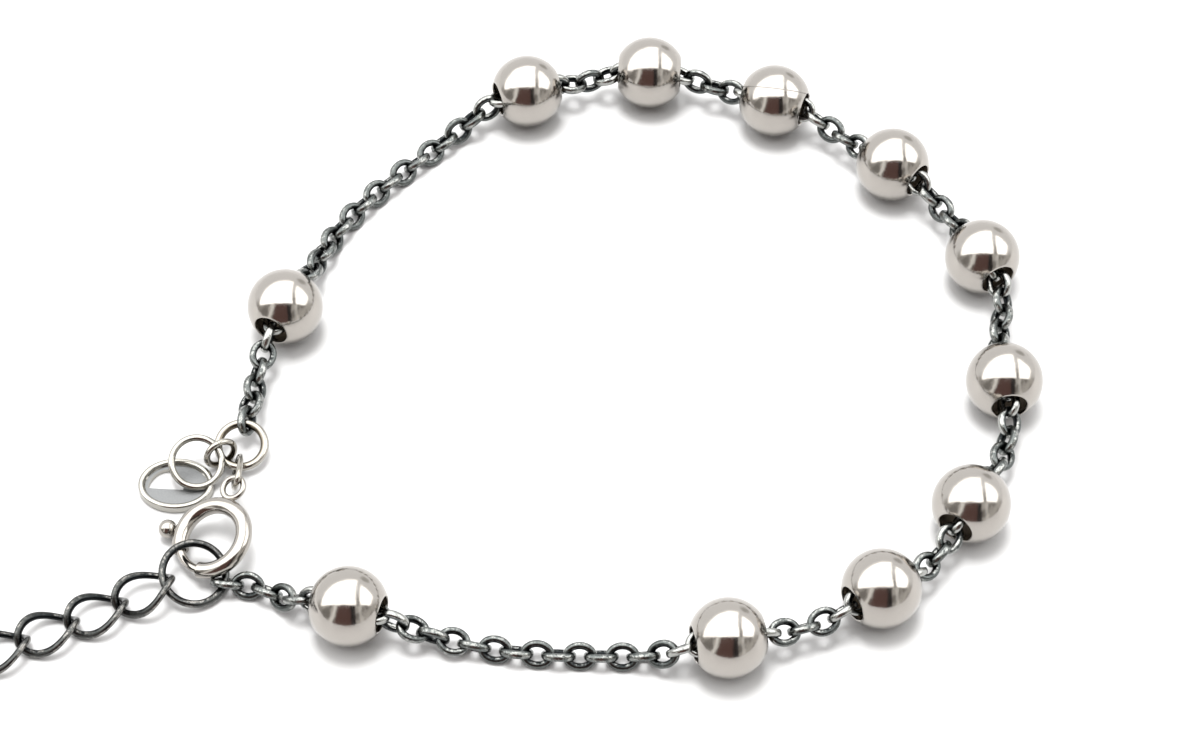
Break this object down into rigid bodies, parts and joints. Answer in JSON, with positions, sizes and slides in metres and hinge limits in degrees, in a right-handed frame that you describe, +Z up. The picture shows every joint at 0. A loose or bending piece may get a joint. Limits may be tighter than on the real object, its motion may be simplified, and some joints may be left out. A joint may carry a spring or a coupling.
{
  "type": "rosary bracelet",
  "caption": "Rosary bracelet: hollow silver beads on an oxidised cable chain, closed with a spring ring clasp, with a small oval tag and a dark extender chain.",
  "frame": {"origin": "middle of the bracelet's footprint, on the surface that it lies on", "axes": "+Z up from that surface, +X from the clasp across the loop to the beads opposite, +Y to the side away from the extender chain"},
  "size_m": [0.0676, 0.0524, 0.005],
  "materials": {
    "bead_silver": "mirror polished sterling silver",
    "ring_silver": "polished sterling silver wire",
    "clasp_silver": "polished sterling silver tube, slightly worn",
    "tag_silver": "polished sterling silver, matt in the hollow",
    "oxidised_chain": "blackened sterling silver wire, rubbed bright on its outer edges",
    "oxidised_extender": "blackened sterling silver wire, rubbed bright on its outer edges"
  },
  "bodies": {
    "bracelet": {"chain": "oxidised_chain", "bead_01": "bead_silver", "bead_02": "bead_silver", "bead_03": "bead_silver", "bead_04": "bead_silver", "bead_05": "bead_silver", "bead_06": "bead_silver", "bead_07": "bead_silver", "bead_08": "bead_silver", "bead_09": "bead_silver", "bead_10": "bead_silver", "bead_11": "bead_silver", "end_ring": "ring_silver", "clasp_link": "ring_silver", "tag_link": "ring_silver", "tag": "tag_silver", "spring_ring": "clasp_silver", "extender_ring": "oxidised_extender", "extender_link_1": "oxidised_extender", "extender_link_2": "oxidised_extender", "extender_link_3": "oxidised_extender", "extender_link_4": "oxidised_extender"},
    "trigger": {"spring_ring_trigger": "clasp_silver"}
  },
  "joints": [
    {"name": "trigger_slide", "type": "hinge", "parent": "bracelet", "child": "trigger", "pos_m": [-0.01922, -0.01568, 0.0017], "axis": [-0.3308, -0.1759, 0.9272], "range_deg": [-50, 0], "stiffness_Nm_per_rad": 0.002}
  ]
}
